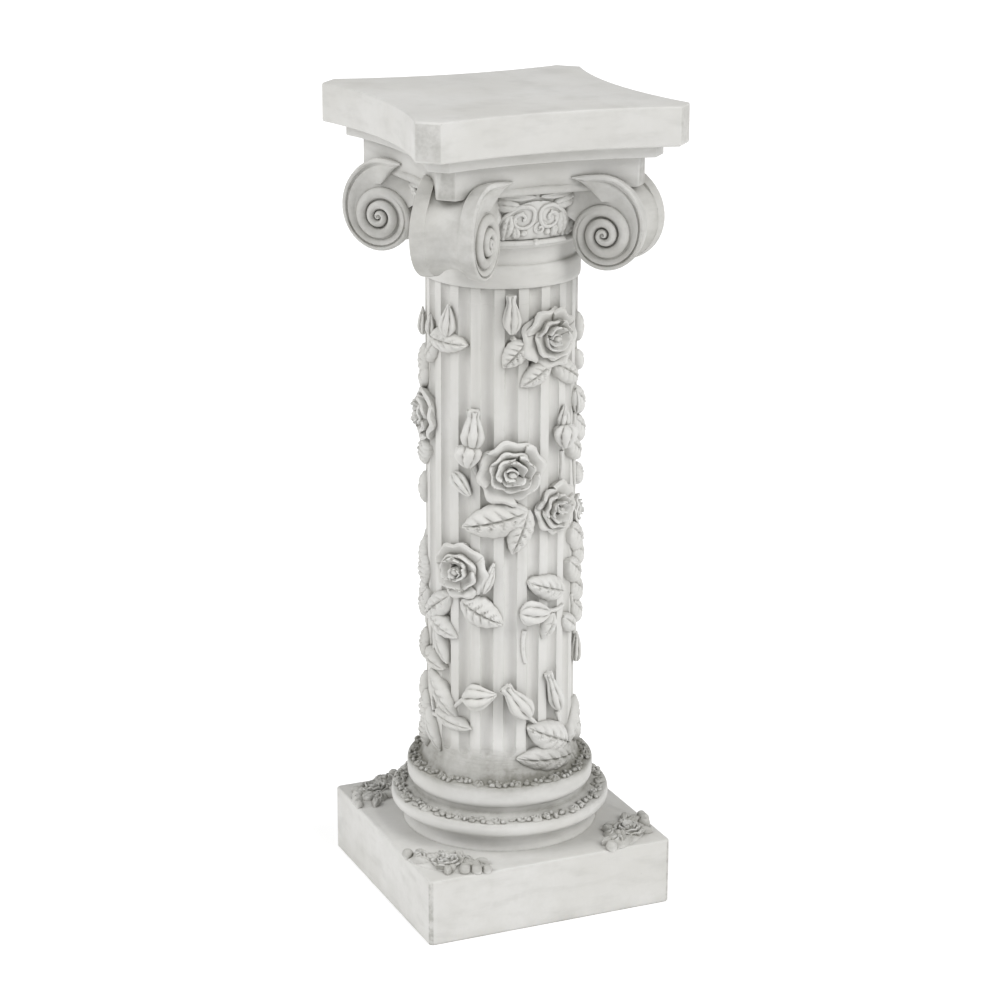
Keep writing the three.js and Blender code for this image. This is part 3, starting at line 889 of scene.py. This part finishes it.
# Curls (size, turns, thickness) and their places (x, y): one in each half, one on the boss
SIDE_CURL = (4.6, 0.9, 2.1)
SIDE_CURL_PLACE = (21, 17)
BOSS_CURL = (6.2, 1.4, 1.9)
BOSS_CURL_PLACE = (3.5, 9.5)
BOSS_SIZE = (7.0, 7.4, 1.9)
BOSS_LIFT = 0.4
BOSS_PLACE = (1.5, 9.5)
# Beaded bar: places along one half, height over the ground, half thickness, and the bead in the middle
BAR_Y = BEAD_Z - PANEL_FOOT + 1
BAR_X = (2, 17, 31)
BAR_LIFT = 3.4
BAR_R = 2.3
BEAD_SIZE = (3.8, 3.4, 3.2)
BEAD_LIFT = 3.6
# Leaves (x, y, aim, length, width) and berries (x, y, radius) of each half
PANEL_LEAVES = [(27, 1, -10, 23, 13), (17, 0, 6, 13, 9), (2, PANEL_RISE + 4, 88, 36, 8),
                (15, 30, 78, 28, 14), (31, 13, 34, 22, 13), (35, 0, 24, 20, 12)]
PANEL_BERRIES = [(11, 6, 3.6)]


def curl(size, turns, thick, start, side):
    """Tapering line that winds in, drawn flat round the origin."""
    t = np.linspace(0, 1, 34)
    r = size * (1 - t) ** 0.8 + 0.4
    a = start + side * 2 * np.pi * turns * t
    path = np.column_stack([r * np.cos(a), r * np.sin(a), 1.0 + 1.6 * t])
    return tube(path, thick * (1 - 0.35 * t), 7)


def scroll(side):
    """Path of the main band of half an arch."""
    wide, tall = SCROLL_SHARE * PANEL_HALF, SCROLL_SHARE * PANEL_RISE
    rise = np.linspace(0, math.acos(SCROLL_EYE[0] / wide), 22)[:-1]
    over = np.column_stack([wide * np.cos(rise), tall * np.sin(rise)])
    t = np.linspace(0, 1, 44)
    a = np.pi / 2 + 2 * np.pi * SCROLL_TURNS * t
    r = SCROLL_R * (1 - t) ** 0.8 + 0.8
    r *= 1 + SCROLL_SHOULDER * np.sin(2 * a) ** 2 * (a < np.pi)
    inward = np.column_stack([SCROLL_EYE[0] + r * np.cos(a), SCROLL_EYE[1] + r * np.sin(a)])
    path = np.vstack([over, inward])
    return np.column_stack([side * path[:, 0], path[:, 1], np.linspace(*SCROLL_LIFT, len(path))])


def fan_plate():
    """Low half-round ground of the panel."""
    u = np.linspace(-1, 1, 19)[:, None]
    v = np.linspace(0, 1, 7)[None]
    x = PANEL_HALF * u + 0 * v
    y = PANEL_RISE * np.sqrt(np.clip(1.001 - u ** 2, 0, 1)) * v
    top = np.stack([x, y, np.full_like(x, PANEL_GROUND)], -1)
    return sheet(top, top * [1, 1, 0] - [0, 0, BED])


def panel(turn):
    bodies = []
    move = on_column(0, PANEL_FOOT, bell_ground)

    def put(body, x=0, y=0, degrees=0):
        bodies.append(placed(body, lambda p: move(spun(p, -degrees) + [x, y, 0])))

    put(fan_plate())
    a = np.linspace(0.0, INNER_REACH, 24)
    share, thick, high = INNER_BAND
    for side in (-1, 1):
        main = scroll(side)
        put(tube(main, SCROLL_THICK * np.linspace(1, SCROLL_TAPER, len(main))))
        x, y = side * share * PANEL_HALF * np.cos(a), share * PANEL_RISE * np.sin(a)
        put(tube(np.column_stack([x, y, np.full(len(a), high)]), thick))
        x, y = SIDE_CURL_PLACE
        put(curl(*SIDE_CURL, np.pi * (1 - side) / 2, side), side * x, y)
        for x, y, aim, length, width in PANEL_LEAVES:
            put(leaf(length, width, 3, 0.6), side * x, y, side * aim)
        for x, y, size in PANEL_BERRIES:
            put(ball((0, 0, 1.2), (size, size, size)), side * x, y)
        put(tube([(side * x, BAR_Y, BAR_LIFT) for x in BAR_X], BAR_R))
    put(ball((0, 0, BOSS_LIFT), BOSS_SIZE), *BOSS_PLACE)
    put(curl(*BOSS_CURL, 0.0, 1), *BOSS_CURL_PLACE)
    put(ball((0, 0, BEAD_LIFT), BEAD_SIZE, 12), 0, BAR_Y)
    return [placed(body, lambda p: spun(p, turn)) for body in bodies]


# One casting: closed bodies joined, then thinned to the limit of triangles

def mesh_object(name, body):
    points, triangles = body
    mesh = bpy.data.meshes.new(name)
    mesh.from_pydata((points * MM).tolist(), [], triangles.tolist())
    mesh.validate()
    piece = bpy.data.objects.new(name, mesh)
    bpy.context.collection.objects.link(piece)
    return piece


def cast(name, bodies):
    """Joins closed bodies into one piece, without the walls inside it."""
    piece = mesh_object(name, bodies[0])
    extras = bpy.data.collections.new("castings")
    bpy.context.scene.collection.children.link(extras)
    for k, body in enumerate(bodies[1:]):
        other = mesh_object(f"cast_{k}", body)
        bpy.context.collection.objects.unlink(other)
        extras.objects.link(other)
    join = piece.modifiers.new("join", "BOOLEAN")
    join.operation = "UNION"
    join.operand_type = "COLLECTION"
    join.collection = extras
    join.solver = "MANIFOLD"
    graph = bpy.context.evaluated_depsgraph_get()
    whole = bpy.data.meshes.new_from_object(piece.evaluated_get(graph))
    piece.modifiers.clear()
    whole.materials.clear()
    piece.data = whole
    for other in list(extras.objects):
        bpy.data.objects.remove(other)
    bpy.data.collections.remove(extras)
    return piece


def thinned(piece, most):
    """The piece with its least needed edges collapsed, down to a number of triangles."""
    share = most / sum(len(face.vertices) - 2 for face in piece.data.polygons)
    if share < 1:
        thin = piece.modifiers.new("thin", "DECIMATE")
        thin.ratio = share
        graph = bpy.context.evaluated_depsgraph_get()
        mesh = bpy.data.meshes.new_from_object(piece.evaluated_get(graph))
        piece.modifiers.clear()
        piece.data = mesh
    return piece


def pedestal():
    bodies = [shaft(), plinth(), base(), bell()]
    bodies += [hollow_slab(**size) for size in (TOP_SLAB, MIDDLE_SLAB, LOW_BLOCK, LEDGE_BAR)]
    bodies += volutes() + shaft_ornament()
    for size in GARLANDS:
        bodies += garland(**size)
    for quarter in range(4):
        bodies += corner_spray(45 + 90 * quarter) + panel(90 * quarter)
    return thinned(cast("column_pedestal_casting", bodies), MOST_TRIANGLES)


# Finish: off-white cast resin with a grey-olive antique wash left in the hollows, painted shade in the
# hollows, under ledges and over the volutes, and painted highlights on raised edges

RESIN = (0.635, 0.63, 0.612)
RESIN_WARM = (0.575, 0.568, 0.542)
# Grey-olive of the wash and of the painted shade, also of pits and chips
WASH_AND_SHADE = (0.15, 0.145, 0.12)
HIGHLIGHT = (0.70, 0.70, 0.685)
GLOSS = 0.35
BUMP = 0.2
BUMP_HEIGHT = 0.8
# How near a hollow's walls are, in millimetres: fine lines, hollows, ledges; then the width of the worn and
# highlighted edges
LINE_SHADE = 2.4
HOLLOW_SHADE = 12.0
WIDE_SHADE = 32.0
EDGE_WIDTH = 3.0
SHADE_SAMPLES = 4
# Noise scales, per metre
CLOUD_SCALE = 9.0
BLOTCH_SCALE = 34.0
STROKE_SCALE = 62.0
MOTTLE_SCALE = 160.0
CHIP_SCALE = 210.0
PIT_SCALE = 420.0
SPECK_SCALE = 620.0
GRAIN_SCALE = 900.0
# Stretch of the brush strokes, which run level except on the shaft
LEVEL_STROKE = (0.5, 0.5, 1.6)
UPRIGHT_STROKE = (1.5, 1.5, 0.15)

# Strength of the wash in fine lines, of the painted shade in hollows and under wide ledges, of the wash as a
# brushed film, of wash and painted shade on clipped corners, and the most of all of them together
LINE_WASH = 0.44
HOLLOW_PAINTED_SHADE = 0.17
LEDGE_PAINTED_SHADE = 0.06
FILM_WASH = 0.11
CORNER_WASH_AND_SHADE = 0.3
MOST_WASH_AND_SHADE = 0.92
# Level bands darkened with wash and painted shade, under the discs, bead and collar and over the garlands, in
# metres: middle, reach to each side, strength
DARKER_BANDS = [(0.030, 0.060, 0.16), (0.075, 0.014, 0.04), (0.099, 0.008, 0.8), (0.128, 0.008, 0.7),
           (0.138, 0.026, 1.15), (0.607, 0.022, 0.16), (0.630, 0.012, 0.2)]
# Ornament darkened with brushed wash and painted shade, the corner sprays and the volutes, in metres: lowest
# and highest point, least distance from the axis, then the strength of that darkening and the share of the
# wash in fine lines that stays beside it
BRUSHED_AND_SHADED = [(0.066, 0.090, 0.112, 0.6, 1.0), (0.600, 0.694, 0.084, 0.42, 0.55)]
# Garlands, whose gaps hold more wash than other lines: heights, reach and core in metres, and how much more
GARLAND_Z = [0.0975, 0.1275]
GARLAND_BAND = (0.008, 0.004)
GARLAND_WASH = 1.2
# Wash along the plinth's upright corners, and the distance from both middle planes where it begins, in metres
ARRIS_WASH = 0.4
ARRIS_FROM = 0.1185
PLINTH_TOP = PLINTH_HEIGHT * MM
# How much more the plinth's edges are chipped than the others, and how far edges are lightened, as
# dry-brushed wear and a painted highlight
PLINTH_WEAR = 0.06
EDGE_WEAR_AND_HIGHLIGHT = 0.45


class Shader:
    """Short names for adding and linking nodes."""

    def __init__(self, name):
        self.material = bpy.data.materials.new(name)
        self.material.use_nodes = True
        self.tree = self.material.node_tree
        self.surface = self.tree.nodes["Principled BSDF"]

    def node(self, kind, inputs=None, **settings):
        made = self.tree.nodes.new("ShaderNode" + kind)
        for key, value in settings.items():
            setattr(made, key, value)
        for key, value in (inputs or {}).items():
            self.set(made.inputs[key], value)
        return made

    def set(self, socket, value):
        if isinstance(value, bpy.types.NodeSocket):
            self.tree.links.new(value, socket)
        else:
            socket.default_value = value

    def math(self, operation, a, b=0.0):
        return self.node("Math", {0: a, 1: b}, operation=operation).outputs[0]

    def times(self, a, b):
        return self.math("MULTIPLY", a, b)

    def plus(self, a, b):
        return self.math("ADD", a, b)

    def gap(self, a, b):
        return self.math("ABSOLUTE", self.math("SUBTRACT", a, b))

    def ramp(self, value, low, high, start=0.0, end=1.0):
        inputs = {"Value": value, "From Min": low, "From Max": high, "To Min": start, "To Max": end}
        return self.node("MapRange", inputs, interpolation_type="SMOOTHSTEP").outputs[0]

    def noise(self, place, scale, detail=4.0, rough=0.55):
        inputs = {"Vector": place, "Scale": scale, "Detail": detail, "Roughness": rough}
        return self.node("TexNoise", inputs).outputs["Fac"]

    def coat(self, inputs):
        for key, value in inputs.items():
            self.set(self.surface.inputs[key], value)

    def mix(self, share, a, b):
        made = self.node("Mix", data_type="RGBA")
        for socket, value in zip((made.inputs[0], made.inputs[6], made.inputs[7]), (share, a, b)):
            self.set(socket, (*value, 1.0) if isinstance(value, tuple) else value)
        return made.outputs[2]


def shade(s, distance, inside=False):
    """How open the surface is within a distance in millimetres: 1 where nothing is near."""
    inputs = {"Distance": distance * MM}
    return s.node("AmbientOcclusion", inputs, samples=SHADE_SAMPLES, inside=inside).outputs["AO"]


def level_band(s, height, middle, reach, core, strength):
    """Full strength within the core of a level band, nothing beyond its reach."""
    return s.ramp(s.gap(height, middle), reach, core, 0.0, strength)


def fine_lines(s, place, height):
    """Speckled wash in fine lines, heaviest in the garlands."""
    deep = 1.0
    for z in GARLAND_Z:
        deep = s.plus(deep, level_band(s, height, z, *GARLAND_BAND, GARLAND_WASH))
    speck = s.ramp(s.noise(place, SPECK_SCALE, 3.0, 0.6), 0.36, 0.62, 0.6, 1.3)
    line = s.ramp(shade(s, LINE_SHADE), 0.94, 0.5)
    return s.times(line, s.times(speck, deep))


def brush_cover(s, place, height, low, high, reach):
    """1 on ornament between two heights and beyond a distance from the axis."""
    flat = s.node("VectorMath", {0: place, 1: (1.0, 1.0, 0.0)}, operation="MULTIPLY").outputs[0]
    away = s.node("VectorMath", {0: flat}, operation="LENGTH").outputs["Value"]
    above = s.ramp(height, low - 0.002, low + 0.002)
    below = s.ramp(height, high + 0.004, high - 0.004)
    beyond = s.ramp(away, reach - 0.004, reach + 0.004)
    return s.times(s.times(above, below), beyond)


def brush_strokes(s, place, height):
    """Thin film of wash in streaks, upright on the shaft and level elsewhere."""
    level = s.node("Mapping", {"Vector": place, "Scale": LEVEL_STROKE}).outputs[0]
    upright = s.node("Mapping", {"Vector": place, "Scale": UPRIGHT_STROKE}).outputs[0]
    on_shaft = s.times(s.ramp(height, 0.13, 0.16), s.ramp(height, 0.60, 0.58))
    along = s.node("Mix", {0: on_shaft, 4: level, 5: upright}, data_type="VECTOR").outputs[1]
    return s.times(s.ramp(s.noise(along, STROKE_SCALE), 0.45, 0.75), FILM_WASH)


def wash_and_painted_shade(s, place, height, blotch, mottle):
    """Wash in fine lines and a brushed film, with painted shade in hollows and under ledges, and wash and
    painted shade in level bands and on brushed ornament.
    """
    line = fine_lines(s, place, height)
    # Painted shade: darker where the surface is hemmed in within a hollow's width or under a wide ledge.
    hollow = s.ramp(shade(s, HOLLOW_SHADE), 0.92, 0.35)
    wide = s.ramp(shade(s, WIDE_SHADE), 0.9, 0.3)
    # Wash and painted shade in darker level bands, then over the brushed ornament.
    darkened = 0.0
    for middle, reach, strength in DARKER_BANDS:
        darkened = s.plus(darkened, level_band(s, height, middle, reach, 0.0, strength))
    # Brushed wash and painted shade over the corner sprays and the volutes.
    for low, high, reach, strength, kept in BRUSHED_AND_SHADED:
        cover = brush_cover(s, place, height, low, high, reach)
        darkened = s.plus(darkened, s.times(cover, strength))
        line = s.times(line, s.ramp(cover, 0.0, 1.0, 1.0, kept))
    uneven = s.ramp(mottle, 0.3, 0.65, 0.52, 0.66)
    layers = 0.0
    for layer, strength in ((line, LINE_WASH), (hollow, HOLLOW_PAINTED_SHADE), (wide, LEDGE_PAINTED_SHADE), (darkened, uneven)):
        layers = s.plus(layers, s.times(layer, strength))
    patchy = s.times(layers, s.ramp(blotch, 0.3, 0.7, 0.6, 1.0))
    return s.math("MINIMUM", s.plus(patchy, brush_strokes(s, place, height)), MOST_WASH_AND_SHADE)


def corner_wash_and_shade(s, height, mottle):
    """Wash and painted shade on the clipped corners of the slabs: upright faces that look along a diagonal,
    darker for the way they face.
    """
    # Painted shade with the wash: set by which way the face looks, not by where it lies.
    facing = s.node("SeparateXYZ", {0: s.node("TexCoord").outputs["Normal"]}).outputs
    x, y, z = (s.math("ABSOLUTE", facing[axis]) for axis in "XYZ")
    clipped = s.times(s.ramp(s.gap(x, y), 0.32, 0.2), s.ramp(z, 0.2, 0.05))
    clipped = s.times(clipped, s.ramp(height, 0.68, 0.69, 0.0, CORNER_WASH_AND_SHADE))
    return s.times(clipped, s.ramp(mottle, 0.3, 0.7, 0.4, 1.0))


def arris_wash(s, place, height, mottle):
    """Wash along the upright corners of the plinth."""
    spread = s.node("VectorMath", {0: place}, operation="ABSOLUTE").outputs[0]
    sides = s.node("SeparateXYZ", {0: spread}).outputs
    arris = s.ramp(s.math("MINIMUM", sides["X"], sides["Y"]), ARRIS_FROM, ARRIS_FROM + 0.001)
    arris = s.times(arris, s.ramp(height, PLINTH_TOP, PLINTH_TOP - 0.003, 0.0, ARRIS_WASH))
    return s.times(arris, s.ramp(mottle, 0.35, 0.6, 0.25, 1.0))


def damage(s, place, height, blotch, edge):
    """Dark pits, and chips along the edges."""
    pits = s.ramp(s.noise(place, PIT_SCALE, 2.0), 0.76, 0.8)
    pits = s.times(pits, s.ramp(blotch, 0.55, 0.65, 0.0, 0.6))
    plinth_wear = s.ramp(height, PLINTH_TOP + 0.002, PLINTH_TOP - 0.004, 0.0, PLINTH_WEAR)
    wear = s.plus(s.noise(place, CHIP_SCALE), plinth_wear)
    chips = s.times(s.ramp(edge, 0.1, 0.5), s.ramp(wear, 0.56, 0.62, 0.0, 0.7))
    return s.math("MAXIMUM", pits, chips)


def antique_resin():
    s = Shader("antique_resin")
    place = s.node("TexCoord").outputs["Object"]
    height = s.node("SeparateXYZ", {0: place}).outputs["Z"]
    blotch = s.noise(place, BLOTCH_SCALE)
    mottle = s.noise(place, MOTTLE_SCALE, 5.0, 0.65)
    # Raised edges: lightened below as dry-brushed wear and a painted highlight, and chipped.
    edge = s.ramp(shade(s, EDGE_WIDTH, True), 0.8, 0.35)
    # Wash and painted shade that darken the resin towards the wash colour.
    wash_and_shade = wash_and_painted_shade(s, place, height, blotch, mottle)
    wash_and_shade = s.plus(wash_and_shade, corner_wash_and_shade(s, height, mottle))
    wash_and_shade = s.plus(wash_and_shade, arris_wash(s, place, height, mottle))
    body = s.mix(s.ramp(s.noise(place, CLOUD_SCALE), 0.35, 0.7), RESIN, RESIN_WARM)
    body = s.mix(s.ramp(mottle, 0.35, 0.7, 0.0, 0.3), body, RESIN_WARM)
    # Raised edges lightened towards the highlight colour, as dry-brushed wear and a painted highlight.
    colour = s.mix(s.times(edge, EDGE_WEAR_AND_HIGHLIGHT), s.mix(wash_and_shade, body, WASH_AND_SHADE), HIGHLIGHT)
    grain = s.times(s.noise(place, GRAIN_SCALE, 3.0), 0.35)
    rough = s.plus(grain, s.times(mottle, 0.65))
    bump = s.node("Bump", {"Height": rough, "Strength": BUMP, "Distance": BUMP_HEIGHT * MM}).outputs[0]
    s.coat({
        "Base Color": s.mix(damage(s, place, height, blotch, edge), colour, WASH_AND_SHADE),
        "Roughness": s.ramp(blotch, 0.2, 0.8, 0.5, 0.64),
        "Specular IOR Level": GLOSS,
        "Normal": bump,
    })
    return s.material


# Studio: pale floor, soft surround, a wide sun from each side

FLOOR_HALF = 14.0
FLOOR_COLOUR = (0.6, 0.6, 0.6, 1.0)
FLOOR_GLOW = 0.56
WHITE = (1.0, 1.0, 1.0, 1.0)
SURROUND = 0.36
# Suns: strength, apparent width in degrees, turn from the front towards +X, height in degrees
SUNS = [(1.68, 40, -93, 40), (1.98, 40, 31, 40)]


def studio():
    x = FLOOR_HALF
    mesh = bpy.data.meshes.new("floor")
    mesh.from_pydata([(-x, -x, 0), (x, -x, 0), (x, x, 0), (-x, x, 0)], [], [(0, 1, 2, 3)])
    floor = bpy.data.objects.new("floor", mesh)
    bpy.context.collection.objects.link(floor)
    paint = Shader("floor_paint")
    paint.coat({
        "Base Color": FLOOR_COLOUR,
        "Roughness": 1.0,
        "Specular IOR Level": 0.0,
        "Emission Color": WHITE,
        "Emission Strength": FLOOR_GLOW,
    })
    mesh.materials.append(paint.material)
    for k, (strength, width, turn, high) in enumerate(SUNS):
        light = bpy.data.lights.new(f"sun_{k}", "SUN")
        light.energy = strength
        light.angle = math.radians(width)
        sun = bpy.data.objects.new(f"sun_{k}", light)
        a, e = math.radians(turn), math.radians(high)
        towards = Vector((math.sin(a) * math.cos(e), -math.cos(a) * math.cos(e), math.sin(e)))
        sun.rotation_euler = towards.to_track_quat("Z", "Y").to_euler()
        bpy.context.collection.objects.link(sun)
    world = bpy.data.worlds.new("surround")
    world.use_nodes = True
    background = world.node_tree.nodes["Background"]
    background.inputs["Color"].default_value = WHITE
    background.inputs["Strength"].default_value = SURROUND
    bpy.context.scene.world = world
    bpy.context.scene.view_settings.view_transform = "Standard"


# Camera, found from the photograph's vanishing lines and the pedestal's own square plan
CAMERA_PLACE = (-1.0091, -2.3026, 1.1606)
CAMERA_TURN = -23.65
CAMERA_DROP = 17.27
CAMERA_ROLL = 0.23
CAMERA_LENS = 101.74
CAMERA_FILM = 36.0
CAMERA_FAR = 60.0


def camera():
    data = bpy.data.cameras.new("camera")
    data.lens = CAMERA_LENS
    data.sensor_width = CAMERA_FILM
    data.clip_end = CAMERA_FAR
    view = bpy.data.objects.new("camera", data)
    turn = Matrix.Rotation(math.radians(CAMERA_TURN), 4, "Z")
    drop = Matrix.Rotation(math.radians(90 - CAMERA_DROP), 4, "X")
    level = Matrix.Rotation(math.radians(CAMERA_ROLL), 4, "Z")
    view.matrix_world = Matrix.Translation(CAMERA_PLACE) @ turn @ drop @ level
    bpy.context.collection.objects.link(view)
    bpy.context.scene.camera = view


piece = pedestal()
piece.data.materials.append(antique_resin())
piece.data.shade_smooth()
piece.data.set_sharp_from_angle(angle=math.radians(SMOOTH_ANGLE))
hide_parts("column_pedestal")
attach(piece, "root")
studio()
camera()
